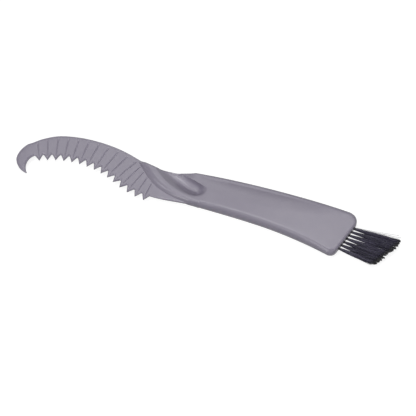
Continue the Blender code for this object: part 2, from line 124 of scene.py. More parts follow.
# Where one section of the moulding turns into the next, and how wide its rounds and bevels may be
BLEND_RUN = 0.012
END_TAPER_X = 0.036
CROWN_FADE_X = 0.030
CROWN_FADE = 0.6
FLOOR_RISE_X = -0.040
SCOOP_LIMIT_X = RIM_LINE[-1][0] + 0.01
FAR_WALL_Y = 0.002
FAR_WALL_RUN = 0.004
FAR_WALL_GROWTH = 0.6
NEAR_ROUND_X = -0.036
EVEN_LANES_X = -0.018
NECK_BEVEL_WIDTH = 0.0003
BLUNT_WIDTH = 0.00010
WIDEST_FAR_ROUND = 0.45
WIDEST_BEVEL = 0.3
HOOK_TIP_HEIGHT = 0.55
HOOK_TIP_RUN = 0.006
VALLEY_SHARE = 0.25

# Shares of a tooth's pitch at which rows stand, and of a groove's length at which lanes stand
GROOVE_OFFSETS = (-1.0, -0.8, -0.55, -0.3, 0.0, 0.3, 0.55, 0.8, 1.0)
PLACES_BEFORE_GROOVE = (0.0, 0.03, 0.06, 0.09, 0.12, 0.2, 0.3, 0.38)
PLACES_AFTER_GROOVE = (0.62, 0.7, 0.8, 0.88, 0.91, 0.94, 0.97)
GROOVE_LANES = (0.0, 0.08, 0.2, 0.4, 0.6, 0.8, 0.92, 1.0)
GROOVE_FADE = 0.4
GROOVE_POWER = 1.5

# How finely the shown moulding is divided
HOOK_ROWS = 44
NECK_ROWS = 70
SCOOP_ROWS = 60
HANDLE_ROWS = 90
END_ROWS = 22
FILLET_STEPS = 12
SCOOP_STEPS = (3, 12, 12, 8)
FAR_ROUND_STEPS = 8
HOLE_SIDES = 36
MERGE_DISTANCE = 0.000002
SHARP_ANGLE = 24

# The shown strands: how many stand in a tuft, how they spread and where they end
STRANDS = 88
STRAND_STEPS = 9
STRAND_SIDES = 6
STRAND_RADII = (0.00010, 0.00013)
STRAND_TAPER = 0.12
STRAND_ROOT = 0.0035
BUNDLE_RADIUS = 0.00060
TUFT_SPREAD = 2.4
OUTER_SPREAD = 1.4
OUTER_PLACE = 0.9
SPREAD_ERROR_Y = 0.00020
SPREAD_ERROR_Z = 0.00025
SPREAD_MARGIN = 0.0009
BEND_POWER = 0.8
BOW_ERROR = 0.00012
PULL_SHARES = (0.15, 0.65)
TIP_OVERHANG = 0.0011
TIP_OVERHANG_FALL = 0.0004
TIP_ERROR = 0.0006
TIP_ROUNDING = 1.5
LAST_TIP_X = 0.10155
LAST_TIP_SLACK = 0.0002

# The tips are drawn towards clumps, which lie along the row of tufts
CLUMPS = 12
CLUMP_REACH = 0.0106
CLUMP_ERROR_Y = 0.0003
CLUMP_ERROR_Z = 0.0012
CLUMP_RECESS = 0.0005
SEED = 11

# A few thin strands stand off beyond the last tuft
STRAY_COUNT = 4
STRAY_RADIUS = 0.00009
STRAY_START_Y = 0.0004
STRAY_START_Z = (-0.0004, 0.0006)
STRAY_OUT = 0.0016
STRAY_PITCH = 0.00045
STRAY_ERROR = 0.0001
STRAY_LIFT = 0.0003
STRAY_SHORTFALL = 0.0030
STRAY_CURVE = 1.3

# Looks: a stop is a value of the pattern and its colour, and a bump is a strength and a depth in metres
PATTERN_LOW = 0.3
PATTERN_HIGH = 0.7
PLASTIC_STOPS = ((0.30, (0.238, 0.217, 0.278)), (0.50, (0.250, 0.229, 0.291)),
                 (0.70, (0.262, 0.241, 0.302)))
PLASTIC_ROUGHNESS = (0.20, 0.26)
PLASTIC_IOR = 1.48
CLOUD_SCALE = 55.0
WEAR_SCALE = 240.0
WEAR_BUMP = (0.15, 0.00006)
GRAIN_SCALE = 1600.0
GRAIN_BUMP = (0.20, 0.00002)
BRISTLE_STOPS = ((0.38, (0.007, 0.006, 0.018)), (0.50, (0.026, 0.022, 0.048)),
                 (0.62, (0.054, 0.048, 0.084)))
# One nearly black colour serves both the darker tips and the painted shade of the holes at the strands'
# roots
BRISTLE_TIP_DARK_AND_HOLE_SHADE = (0.002, 0.002, 0.004, 1)
BRISTLE_ROUGHNESS = (0.34, 0.5)
BRISTLE_IOR = 1.42
LOCK_SCALE = 1400.0
LOCK_STRETCH = 0.05
STREAK_SCALE = 900.0
STREAK_BUMP = (0.2, 0.00001)
# How far back from the trimmed tips the strands darken, and how far out from the holes the painted shade of
# the holes reaches
DARK_TIP = (0.0008, 0.0040)
HOLE_SHADE_REACH = (0.0002, 0.0018)
ANCHOR_STOPS = ((0.3, (0.52, 0.52, 0.50)), (0.7, (0.66, 0.66, 0.64)))
ANCHOR_ROUGHNESS = (0.24, 0.38)
BRUSHED_SCALE = 9000.0
BRUSHED_STRETCH = 0.12
BRUSHED_BUMP = (0.2, 0.00001)

# The floor, whose glow near and far is a distance from the middle and a strength there
FLOOR_HALF_SIDE = 40.0
FLOOR_DROP = 0.00005
FLOOR_GREY = (0.30, 0.30, 0.30, 1)
FLOOR_NEAR = (0.5, 0.86)
FLOOR_FAR = (1.5, 1.0)

# The share of the white floor and of the white sky that gloss reflects
FLOOR_GLOSS = 0.75
SKY_GLOSS = 1.0

# Softboxes round the lit point: azimuth and elevation in degrees, and power in watts
DISC_DIAMETER = 0.30
LIT_POINT = (-0.02, 0, 0)
SOFTBOXES = ((247.5, 26, 1.11), (292.5, 26, 0.37), (337.5, 26, 2.74), (108, 42, 0.49), (216, 42, 1.08),
             (252, 42, 0.64), (90, 56, 0.51), (126, 56, 0.49), (234, 56, 0.76), (90, 69, 0.62),
             (135, 69, 0.26), (225, 69, 0.55), (144, 80, 1.93))

# The photograph's camera, and how many of its pixels a millimetre takes at the point it looks at
CAMERA_ELEVATION = 58
CAMERA_AZIMUTH = 21
CAMERA_DISTANCE = 0.8
CAMERA_TARGET = (-0.014, -0.011, 0.0037)
SENSOR_WIDTH = 36
PIXELS_PER_MM = 1.655
PICTURE_PIXELS = 416

CLAW_TOP = CLAW_THICKNESS / 2
MIDDLE = GRIP_THICKNESS / 2
END_TAN = math.tan(math.radians(END_SLANT))
TRIM_MIDDLE_X = END_X + END_TAN * TUFT_ROW_Y + TRIM_REACH
GOLDEN_ANGLE = math.pi * (3 - math.sqrt(5))


def clamp(t):
    return min(max(t, 0.0), 1.0)


def ease(t):
    t = clamp(t)
    return t * t * (3 - 2 * t)


def mix(a, b, t):
    return a + (b - a) * t


def smooth_through(points):
    """A function for the smooth curve through the points, straight beyond its ends."""
    xs = [p[0] for p in points]
    ys = [p[1] for p in points]
    slopes = [(y1 - y0) / (x1 - x0) for x0, x1, y0, y1 in zip(xs, xs[1:], ys, ys[1:])]
    inner = [0.0 if a * b <= 0 else 2 * a * b / (a + b) for a, b in zip(slopes, slopes[1:])]
    tangents = [slopes[0]] + inner + [slopes[-1]]

    def value(x):
        if x <= xs[0]:
            return ys[0] + tangents[0] * (x - xs[0])
        if x >= xs[-1]:
            return ys[-1] + tangents[-1] * (x - xs[-1])
        i = max(k for k in range(len(xs) - 1) if xs[k] <= x)
        width = xs[i + 1] - xs[i]
        t = (x - xs[i]) / width
        bend = (1 - t) ** 2 * t * tangents[i] + t * t * (t - 1) * tangents[i + 1]
        return mix(ys[i], ys[i + 1], ease(t)) + width * bend

    return value


foot_y = smooth_through(FOOT_LINE)
crest_y = smooth_through(CREST_LINE)
rim_y = smooth_through(RIM_LINE)
floor_y = smooth_through(FLOOR_LINE)
bank_y = smooth_through(BANK_LINE)
scoop_end_x = smooth_through(SCOOP_END_LINE)
crease_y = smooth_through(CREASE_LINE)


def arc_drop(radius, offset):
    return radius - math.sqrt(max(radius * radius - offset * offset, 0.0))


def near_edge(x):
    """Y of the side that the teeth are on, where the neck and the handle have it."""
    radius = NEAR_BRUSH_RADIUS if x > NEAR_PEAK_X else NEAR_NECK_RADIUS
    handle = NEAR_PEAK_Y - arc_drop(radius, x - NEAR_PEAK_X)
    if x >= NECK_END_X:
        return handle
    share = ease((x - CLAW_START_X) / (NECK_END_X - CLAW_START_X))
    neck_end = NEAR_PEAK_Y - arc_drop(NEAR_NECK_RADIUS, NECK_END_X - NEAR_PEAK_X)
    return mix(CLAW_START_Y, neck_end, share)


def far_edge(x):
    """Y of the side that the waist is on."""
    handle = FAR_PEAK_Y - arc_drop(FAR_RADIUS, x - FAR_PEAK_X)
    if abs(x - WAIST_X) >= WAIST_RADIUS:
        return handle
    return min(handle, WAIST_Y + arc_drop(WAIST_RADIUS, x - WAIST_X))


def waist_corner_x():
    """Where the waist's arc runs out into the handle's far edge."""
    low, high = WAIST_X, WAIST_X + WAIST_RADIUS
    for _ in range(40):
        middle = (low + high) / 2
        handle = FAR_PEAK_Y - arc_drop(FAR_RADIUS, middle - FAR_PEAK_X)
        if WAIST_Y + arc_drop(WAIST_RADIUS, middle - WAIST_X) < handle:
            low = middle
        else:
            high = middle
    return (low + high) / 2


WAIST_CORNER = waist_corner_x()


def half_thickness(x):
    neck_blend = ease((x - NECK_END_X) / BLEND_RUN)
    end_blend = ease((x - END_TAPER_X) / (END_X - END_TAPER_X))
    grip = mix(NECK_THICKNESS, GRIP_THICKNESS, neck_blend) / 2
    return mix(grip, BRUSH_END_THICKNESS / 2, end_blend)


def crown(x, y):
    """How far the upper face has fallen beyond its crease."""
    past = max(y - crease_y(x), 0.0)
    fade = 1 - CROWN_FADE * ease((x - CROWN_FADE_X) / (END_X - CROWN_FADE_X))
    return (CROWN_SLOPE * past + CROWN_CURVE * past * past) * fade


def knots(x, top, upper):
    """Heights across the neck at X, from the ridge's foot over the scoop to the bank beyond it."""
    shift = SCOOP_SHIFT * ease((x - SCOOP_SHIFT_X) / SCOOP_SHIFT_RUN)
    level = SCOOP_WEB / 2 + FLOOR_RISE * ease((FLOOR_RISE_X - x) / BLEND_RUN)
    bank = mix(level, top - BANK_BELOW_TOP, ease((x - BANK_START_X) / (BANK_FULL_X - BANK_START_X)))
    floor = level - shift if upper else level + shift
    return ((foot_y(x), CLAW_TOP), (crest_y(x), top), (rim_y(x), top),
            (floor_y(x), floor), (bank_y(x), min(bank, top)))


def surface(x, y, crowned):
    """Height of a face above the mid-plane, before its edges are rounded."""
    top = half_thickness(x) - (crown(x, y) if crowned else 0.0)
    if x > scoop_end_x(y) or x > SCOOP_LIMIT_X:
        return top
    line = knots(x, top, crowned)
    if y <= line[0][0]:
        return CLAW_TOP
    height = line[-1][1]
    for k, ((y0, z0), (y1, z1)) in enumerate(zip(line, line[1:])):
        if y0 < y < y1:
            t = (y - y0) / (y1 - y0)
            shares = (1 - (1 - t) ** FILLET_POWER, t, ease(t), t ** BANK_POWER)
            height = mix(z0, z1, shares[k])
            break
    if y < line[2][0]:
        return height
    wall = SCOOP_END_WALL * (1 + FAR_WALL_GROWTH * ease((y - FAR_WALL_Y) / FAR_WALL_RUN))
    t = clamp((scoop_end_x(y) - x) / wall)
    return mix(height, top, ease(1 - t))


def root_length():
    return (math.radians(ROOT_NECK_SWEEP) * ROOT_NECK_RADIUS
            + math.radians(ROOT_SWEEP) * ROOT_RADIUS)


def root_point(distance):
    """Point on the tooth root line and the direction from it to the spine."""
    start = Vector((CLAW_START_X, CLAW_START_Y))
    neck_length = math.radians(ROOT_NECK_SWEEP) * ROOT_NECK_RADIUS
    turn = min(distance, neck_length) / ROOT_NECK_RADIUS
    normal = Vector((math.sin(turn), math.cos(turn)))
    point = start + ROOT_NECK_RADIUS * (Vector((0, 1)) - normal)
    if distance > neck_length:
        centre = point - ROOT_RADIUS * normal
        turn -= (distance - neck_length) / ROOT_RADIUS
        normal = Vector((math.sin(turn), math.cos(turn)))
        point = centre + ROOT_RADIUS * normal
    return point, normal


def hook_rows():
    """Points down the inside of the hook, with the direction to its outside and the distance run."""
    point = root_point(root_length())[0]
    heading = math.radians(HOOK_HEADING)
    run = 0.0
    total = sum(radius * math.radians(turn) for radius, turn in HOOK_ARCS)
    rows = []
    for radius, turn in HOOK_ARCS:
        turn = math.radians(turn)
        centre = point + radius * Vector((-math.sin(heading), math.cos(heading)))
        steps = max(2, round(HOOK_ROWS * radius * turn / total))
        for k in range(1, steps + 1):
            angle = heading + turn * k / steps
            out = Vector((math.sin(angle), -math.cos(angle)))
            point = centre + radius * out
            rows.append((point, out, run + radius * turn * k / steps))
        heading += turn
        run += radius * turn
    return rows


def tooth_drop(t):
    """Depth of a tooth at a share of its half pitch, from its rounded valley to its tip."""
    slope = 1 / (1 - VALLEY_SHARE / 2)
    if t < VALLEY_SHARE:
        return TOOTH_DEPTH * slope * t * t / (2 * VALLEY_SHARE)
    return TOOTH_DEPTH * slope * (t - VALLEY_SHARE / 2)


class Row:
    """One row across the moulding, from its near edge to its far edge.

    The groove is the share of its full depth, the end gap is how far the row stands from the end face,
    and the tip is the share of the full height.
    """

    def __init__(self, near, far, groove=0.0, end_gap=None, tip=1.0):
        self.near = Vector(near)
        self.far = Vector(far)
        self.groove = groove
        self.end_gap = end_gap
        self.tip = tip

    def at(self, distance):
        return self.near + (self.far - self.near).normalized() * distance

    @property
    def width(self):
        return (self.far - self.near).length

    def crossing(self, line, limit):
        """Distance at which the row crosses a line seen from above."""
        low, high = 0.0, limit
        if self.at(low).y > line(self.at(low).x):
            return low
        if self.at(high).y < line(self.at(high).x):
            return high
        for _ in range(30):
            middle = (low + high) / 2
            point = self.at(middle)
            if point.y < line(point.x):
                low = middle
            else:
                high = middle
        return (low + high) / 2


def claw_rows():
    """Rows from the hook's tip through the teeth to the neck."""
    length = root_length()
    widths = [(0.0, WAIST_Y - CLAW_START_Y)] + list(CLAW_WIDTHS)
    widths += [(length + run, width) for run, width in HOOK_WIDTHS]
    width_at = smooth_through(widths)
    rows = []
    for point, out, run in reversed(hook_rows()):
        tip = mix(HOOK_TIP_HEIGHT, 1.0, ease((HOOK_WIDTHS[-1][0] - run) / HOOK_TIP_RUN))
        rows.append(Row(point, point + out * width_at(length + run), tip=tip))
    count = max(1, round(length / TOOTH_PITCH))
    pitch = length / count
    half = GROOVE_WIDTH / pitch / 2
    places = [*PLACES_BEFORE_GROOVE, *(0.5 + half * s for s in GROOVE_OFFSETS), *PLACES_AFTER_GROOVE]
    for tooth in reversed(range(count)):
        for place in reversed(places):
            distance = (tooth + place) * pitch
            point, normal = root_point(distance)
            drop = tooth_drop(1 - abs(1 - 2 * place))
            depth = max(0.0, 1 - ((place - 0.5) / half) ** 2) ** GROOVE_POWER
            rows.append(Row(point - normal * drop, point + normal * width_at(distance), depth))
        if tooth == count - 1:
            point, normal = root_point(length)
            rows.insert(len(rows) - len(places), Row(point, point + normal * width_at(length)))
    return rows


def row_ends(x, slant):
    """Where a slanted row through X meets the two edges."""
    near, far = Vector((x, near_edge(x))), Vector((x, far_edge(x)))
    for _ in range(8):
        near = Vector((x + slant * near.y, near_edge(near.x)))
        far = Vector((x + slant * far.y, far_edge(far.x)))
    return near, far


def corner_inset(radius, gap):
    """How far a rounded corner draws in a row that stands this far from the end face."""
    return 0.0 if gap >= radius else arc_drop(radius, radius - gap)


def handle_rows():
    """Rows from the neck to the brush end, turning to lie along the end face."""
    scoop_end = SCOOP_END_LINE[2][0] + 0.0004
    round_start = END_X - max(NEAR_CORNER_ROUND, FAR_CORNER_ROUND)
    places = [mix(CLAW_START_X, WAIST_CORNER, k / NECK_ROWS) for k in range(1, NECK_ROWS + 1)]
    places += [mix(WAIST_CORNER, scoop_end, k / SCOOP_ROWS) for k in range(1, SCOOP_ROWS + 1)]
    places += [mix(scoop_end, round_start, k / HANDLE_ROWS) for k in range(1, HANDLE_ROWS + 1)]
    rows = []
    for x in places:
        slant = END_TAN * clamp((x - scoop_end) / (round_start - scoop_end))
        rows.append(Row(*row_ends(x, slant)))
    for k in range(1, END_ROWS + 1):
        gap = (END_X - round_start) * (1 - math.sin(math.pi / 2 * k / END_ROWS))
        near, far = row_ends(END_X - gap, END_TAN)
        along = (far - near).normalized()
        near = near + along * corner_inset(NEAR_CORNER_ROUND, gap)
        far = far - along * corner_inset(FAR_CORNER_ROUND, gap)
        rows.append(Row(near, far, end_gap=gap))
    return rows


def lanes(row, crowned):
    """Distances and heights across one face of a row, from its near edge to its far edge."""
    width = row.width
    far_x = row.at(width).x
    handle = ease((far_x - WAIST_CORNER) / BLEND_RUN)
    far_round = min(mix(SPINE_BEVEL_WIDTH, FAR_EDGE_ROUND, handle), WIDEST_FAR_ROUND * width)
    far_wall = CLAW_TOP - SPINE_BEVEL_DROP * (1 - handle)
    shoulder = width - far_round
    foot = min(row.crossing(foot_y, shoulder), shoulder)
    crest = NEAR_EDGE_ROUND
    if row.near.x < NECK_END_X:
        crest = max(row.crossing(crest_y, shoulder), foot)
    handle_edge = ease((row.near.x - NEAR_ROUND_X) / BLEND_RUN)
    power = mix(FILLET_POWER, UPPER_EDGE_POWER if crowned else LOWER_EDGE_POWER, handle_edge)
    neck = ease((row.near.x - CLAW_START_X) / (NECK_END_X - CLAW_START_X))
    edge_wall = mix(TOOTH_EDGE_THICKNESS / 2, CLAW_TOP, neck)
    bevel = min(mix(TOOTH_BEVEL_WIDTH, NECK_BEVEL_WIDTH, neck), WIDEST_BEVEL * width, foot)
    blunt = min(BLUNT_WIDTH, 0.3 * bevel)
    line = [(0.0, 0.0), (0.0, 0.5 * edge_wall), (0.0, edge_wall - blunt)]
    line += [(0.3 * blunt, edge_wall - 0.3 * blunt), (blunt, edge_wall)]
    line.append((mix(blunt, bevel, 0.5), mix(edge_wall, CLAW_TOP, 0.5)))
    groove_end = max(foot - GROOVE_RUNOUT, bevel)
    for share in GROOVE_LANES:
        depth = GROOVE_DEPTH * row.groove * ease(share / GROOVE_FADE)
        line.append((mix(bevel, groove_end, share), CLAW_TOP - depth))
    line.append((mix(groove_end, foot, 0.5), CLAW_TOP - 0.4 * GROOVE_DEPTH * row.groove))
    line.append((foot, CLAW_TOP))

    def height(distance):
        point = row.at(distance)
        return surface(point.x, point.y, crowned)

    top = height(crest)
    for k in range(1, FILLET_STEPS):
        angle = math.pi / 2 * k / FILLET_STEPS
        share = 1 - math.cos(angle)
        swept = 1 - (1 - share) ** power
        distance = mix(foot, crest, share)
        line.append((distance, mix(CLAW_TOP, top, swept) if crest > foot else height(distance)))
    line.append((crest, top))
    spread = ease((row.near.x - EVEN_LANES_X) / BLEND_RUN)
    marks = [crest]
    for k, curve in enumerate((rim_y, floor_y, bank_y)):
        followed = max(row.crossing(curve, shoulder), marks[-1]) if spread < 1 else 0.0
        marks.append(mix(followed, mix(crest, shoulder, (k + 1) / 4), spread))
    marks.append(shoulder)
    for before, after, steps in zip(marks, marks[1:], SCOOP_STEPS):
        for k in range(1, steps + 1):
            distance = mix(before, after, k / steps)
            line.append((distance, height(distance)))
    edge_top = height(shoulder)
    for k in range(1, FAR_ROUND_STEPS + 1):
        angle = math.pi / 2 * k / FAR_ROUND_STEPS
        distance = shoulder + far_round * math.sin(angle)
        line.append((distance, mix(min(far_wall, edge_top), edge_top, math.cos(angle))))
    line.append((width, 0.4 * line[-1][1]))
    line.append((width, 0.0))
    scale = row.tip
    if row.end_gap is not None and row.end_gap < END_EDGE_ROUND:
        lost = arc_drop(END_EDGE_ROUND, END_EDGE_ROUND - row.end_gap)
        scale = 1 - lost / (BRUSH_END_THICKNESS / 2)
    return [(distance, z * scale) for distance, z in line]


def ring(row):
    """Closed loop of points round a row: across the upper face and back across the lower one."""
    points = [(*row.at(distance), MIDDLE + z) for distance, z in lanes(row, True)]
    points += [(*row.at(distance), MIDDLE - z) for distance, z in reversed(lanes(row, False)[1:-1])]
    return points


def finish_piece(name, bm, material):
    mesh = bpy.data.meshes.new(name)
    bm.to_mesh(mesh)
    bm.free()
    mesh.materials.append(material)
    mesh.shade_smooth()
    obj = bpy.data.objects.new(name, mesh)
    bpy.context.scene.collection.objects.link(obj)
    return obj


def tuft_places():
    """Middle of each hole's mouth, with the tuft's place in the row from -1 to 1."""
    slant = math.radians(END_SLANT)
    for k in range(TUFT_COUNT):
        step = k - (TUFT_COUNT - 1) / 2
        y = TUFT_ROW_Y + TUFT_PITCH * math.cos(slant) * step
        yield Vector((END_X + END_TAN * y, y, MIDDLE)), 2 * step / max(TUFT_COUNT - 1, 1)


def make_moulding(material):
    """The handle and claw, skinned over its rows, with the tufts' holes cut into its end face."""
    rows = claw_rows() + handle_rows()
    bm = bmesh.new()
    loops = [[bm.verts.new(point) for point in ring(row)] for row in rows]
    for before, after in zip(loops, loops[1:]):
        for k in range(len(before)):
            j = (k + 1) % len(before)
            bm.faces.new((before[k], before[j], after[j], after[k]))
    bm.faces.new(reversed(loops[0]))
    bm.faces.new(loops[-1])
    bmesh.ops.remove_doubles(bm, verts=bm.verts, dist=MERGE_DISTANCE)
    bmesh.ops.recalc_face_normals(bm, faces=bm.faces)
    moulding = finish_piece("moulding", bm, material)
    bm = bmesh.new()
    for mouth, _ in tuft_places():
        made = bmesh.ops.create_cone(bm, cap_ends=True, segments=HOLE_SIDES, radius1=HOLE_DIAMETER / 2,
                                     radius2=HOLE_DIAMETER / 2, depth=2 * HOLE_DEPTH)["verts"]
        for v in made:
            v.co = Vector((v.co.z, v.co.x, v.co.y)) + mouth
    bmesh.ops.recalc_face_normals(bm, faces=bm.faces)
    cutter = finish_piece("hole_cutter", bm, material)
    cut = moulding.modifiers.new("tuft holes", "BOOLEAN")
    cut.operation = "DIFFERENCE"
    cut.solver = "EXACT"
    cut.object = cutter
    graph = bpy.context.evaluated_depsgraph_get()
    cut_mesh = bpy.data.meshes.new_from_object(moulding.evaluated_get(graph))
    moulding.modifiers.clear()
    moulding.data = cut_mesh
    bpy.data.objects.remove(cutter, do_unlink=True)
    cut_mesh.shade_smooth()
    cut_mesh.set_sharp_from_angle(angle=math.radians(SHARP_ANGLE))
    return moulding


def tuft_strand(bm, points, radius, turn):
    """A tube along the points, closed at both ends, a little thinner towards its tip."""
    angles = [turn + 2 * math.pi * k / STRAND_SIDES for k in range(STRAND_SIDES)]
    rings = []
    for i, point in enumerate(points):
        share = i / (len(points) - 1)
        ahead = points[min(i + 1, len(points) - 1)] - points[max(i - 1, 0)]
        ahead.normalize()
        side = ahead.cross(Vector((0, 0, 1))).normalized()
        up = side.cross(ahead)
        r = radius * (1 - STRAND_TAPER * share)
        rings.append([bm.verts.new(point + (side * math.cos(a) + up * math.sin(a)) * r) for a in angles])
    for before, after in zip(rings, rings[1:]):
        for k in range(STRAND_SIDES):
            j = (k + 1) % STRAND_SIDES
            bm.faces.new((before[k], before[j], after[j], after[k]))
    bm.faces.new(reversed(rings[0]))
    bm.faces.new(rings[-1])


def trim_x(y, place):
    """How far the trimmed tips reach at Y, in the tuft at this place in the row."""
    corner = min(y, TRIM_CORNER_Y)
    x = TRIM_MIDDLE_X + (corner - TUFT_ROW_Y) * math.tan(math.radians(TRIM_SLANT))
    x += (y - corner) * math.tan(math.radians(TRIM_CORNER_SLANT)) + TIP_OVERHANG - TIP_OVERHANG_FALL * place
    return min(x, LAST_TIP_X + LAST_TIP_SLACK)


def make_tuft(number, mouth, place, clumps, material, rng):
    """Strands from inside the hole to the slanted trim, bending into loose clumps."""
    bm = bmesh.new()
    lean = math.tan(math.radians(BRUSH_FAN * place - BRUSH_LEAN)) * TRIM_REACH
    for k in range(STRANDS):
        out = BUNDLE_RADIUS * math.sqrt((k + 0.5) / STRANDS)
        angle = k * GOLDEN_ANGLE
        y, z = out * math.cos(angle), out * math.sin(angle)
        # The outer tufts keep a straight outer side
        outer = abs(place) > OUTER_PLACE and y * place > 0
        spread_y = y * (OUTER_SPREAD if outer else TUFT_SPREAD) + rng.gauss(0, SPREAD_ERROR_Y)
        spread_z = z * TUFT_SPREAD + rng.gauss(0, SPREAD_ERROR_Z)
        spread_z = min(max(spread_z, SPREAD_MARGIN - MIDDLE - z), MIDDLE - SPREAD_MARGIN - z)
        tip_y, tip_z = mouth.y + y + lean + spread_y, mouth.z + z + spread_z
        clump_y, clump_z, recess = min(clumps, key=lambda c: (c[0] - tip_y) ** 2 + (c[1] - tip_z) ** 2)
        pull = rng.uniform(*PULL_SHARES)
        drawn_y, drawn_z = (clump_y - tip_y) * pull, (clump_z - tip_z) * pull
        end_y = tip_y + drawn_y
        end_x = trim_x(end_y, place) - recess - rng.uniform(0, TIP_ERROR)
        end_x = min(end_x - TIP_ROUNDING * abs(end_y - clump_y), LAST_TIP_X)
        bow_y, bow_z = rng.gauss(0, BOW_ERROR), rng.gauss(0, BOW_ERROR)
        points = [mouth + Vector((-STRAND_ROOT, y, z))]
        for i in range(STRAND_STEPS):
            t = i / (STRAND_STEPS - 1)
            bent, drawn, bowed = t ** (1.0 if outer else BEND_POWER), t ** 2, math.sin(math.pi * t)
            along_y = mouth.y + y + lean * t + spread_y * bent + drawn_y * drawn + bow_y * bowed
            along_z = mouth.z + z + spread_z * bent + drawn_z * drawn + bow_z * bowed
            points.append(Vector((mix(mouth.x, end_x, t), along_y, along_z)))
        tuft_strand(bm, points, rng.uniform(*STRAND_RADII), rng.uniform(0, 1))
    for k in range(STRAY_COUNT if place > OUTER_PLACE else 0):
        out_y = STRAY_OUT + STRAY_PITCH * k + rng.uniform(-STRAY_ERROR, STRAY_ERROR)
        start = mouth + Vector((-STRAND_ROOT, STRAY_START_Y, rng.uniform(*STRAY_START_Z)))
        reach = LAST_TIP_X - start.x - rng.uniform(0.0, STRAY_SHORTFALL)
        points = []
        for i in range(STRAND_STEPS):
            t = i / (STRAND_STEPS - 1)
            along_y = lean * t + out_y * t ** STRAY_CURVE
            points.append(start + Vector((reach * t, along_y, STRAY_LIFT * k * t)))
        tuft_strand(bm, points, STRAY_RADIUS, rng.uniform(0, 1))
    bmesh.ops.recalc_face_normals(bm, faces=bm.faces)
    return finish_piece(f"tuft_{number}_strands", bm, material)


# Materials

def new_material(name):
    material = bpy.data.materials.new(name)
    material.use_nodes = True
    nodes = material.node_tree.nodes
    return material, nodes, material.node_tree.links, nodes["Principled BSDF"]


def linked_math(nodes, links, operation, first, second):
    """One operation on two values, each of them a socket or a plain number."""
    node = nodes.new("ShaderNodeMath")
    node.operation = operation
    for value, socket in zip((first, second), node.inputs):
        if isinstance(value, float):
            socket.default_value = value
        else:
            links.new(value, socket)
    return node.outputs[0]


def mapped(nodes, links, value, start, end):
    """A value rescaled, where the start and the end each say a value and what it becomes."""
    node = nodes.new("ShaderNodeMapRange")
    node.inputs["From Min"].default_value = start[0]
    node.inputs["From Max"].default_value = end[0]
    node.inputs["To Min"].default_value = start[1]
    node.inputs["To Max"].default_value = end[1]
    links.new(value, node.inputs["Value"])
    return node.outputs["Result"]


def stretched(nodes, links, coord, scale):
    node = nodes.new("ShaderNodeMapping")
    node.inputs["Scale"].default_value = scale
    links.new(coord, node.inputs["Vector"])
    return node.outputs["Vector"]


def noise(nodes, links, coord, scale, detail=3.0, roughness=0.5):
    node = nodes.new("ShaderNodeTexNoise")
    node.inputs["Scale"].default_value = scale
    node.inputs["Detail"].default_value = detail
    node.inputs["Roughness"].default_value = roughness
    links.new(coord, node.inputs["Vector"])
    return node.outputs["Fac"]


def ramp(nodes, links, factor, stops):
    node = nodes.new("ShaderNodeValToRGB")
    node.color_ramp.elements[0].position = stops[0][0]
    node.color_ramp.elements[0].color = (*stops[0][1], 1)
    node.color_ramp.elements[1].position = stops[-1][0]
    node.color_ramp.elements[1].color = (*stops[-1][1], 1)
    for position, colour in stops[1:-1]:
        node.color_ramp.elements.new(position).color = (*colour, 1)
    links.new(factor, node.inputs["Fac"])
    return node.outputs["Color"]


def spread_value(nodes, links, factor, span):
    """A pattern's usual range turned into the span given as its low and high ends."""
    return mapped(nodes, links, factor, (PATTERN_LOW, span[0]), (PATTERN_HIGH, span[1]))


def bump(nodes, links, shader, layers):
    """Bump layers one on another, each a height output, a strength and a depth in metres."""
    normal = None
    for height, strength, depth in layers:
        node = nodes.new("ShaderNodeBump")
        node.inputs["Strength"].default_value = strength
        node.inputs["Distance"].default_value = depth
        links.new(height, node.inputs["Height"])
        if normal is not None:
            links.new(normal, node.inputs["Normal"])
        normal = node.outputs["Normal"]
    links.new(normal, shader.inputs["Normal"])


def plastic_material():
    """Satin grey plastic with a cloudy tint, faint wear and a fine grain."""
    material, nodes, links, shader = new_material("moulded_plastic")
    coord = nodes.new("ShaderNodeTexCoord").outputs["Object"]
    cloud = noise(nodes, links, coord, CLOUD_SCALE)
    links.new(ramp(nodes, links, cloud, PLASTIC_STOPS), shader.inputs["Base Color"])
    grain = noise(nodes, links, coord, GRAIN_SCALE, 2.0)
    wear = noise(nodes, links, coord, WEAR_SCALE, 4.0, 0.6)
    links.new(spread_value(nodes, links, wear, PLASTIC_ROUGHNESS), shader.inputs["Roughness"])
    bump(nodes, links, shader, ((wear, *WEAR_BUMP), (grain, *GRAIN_BUMP)))
    shader.inputs["IOR"].default_value = PLASTIC_IOR
    return material


def along_line(nodes, links, coord, slope, start, end):
    """From 0 to 1 as X less the slope times Y goes from the start to the end."""
    dot = nodes.new("ShaderNodeVectorMath")
    dot.operation = "DOT_PRODUCT"
    dot.inputs[1].default_value = (1.0, -slope, 0.0)
    links.new(coord, dot.inputs[0])
    return mapped(nodes, links, dot.outputs["Value"], (start, 0.0), (end, 1.0))


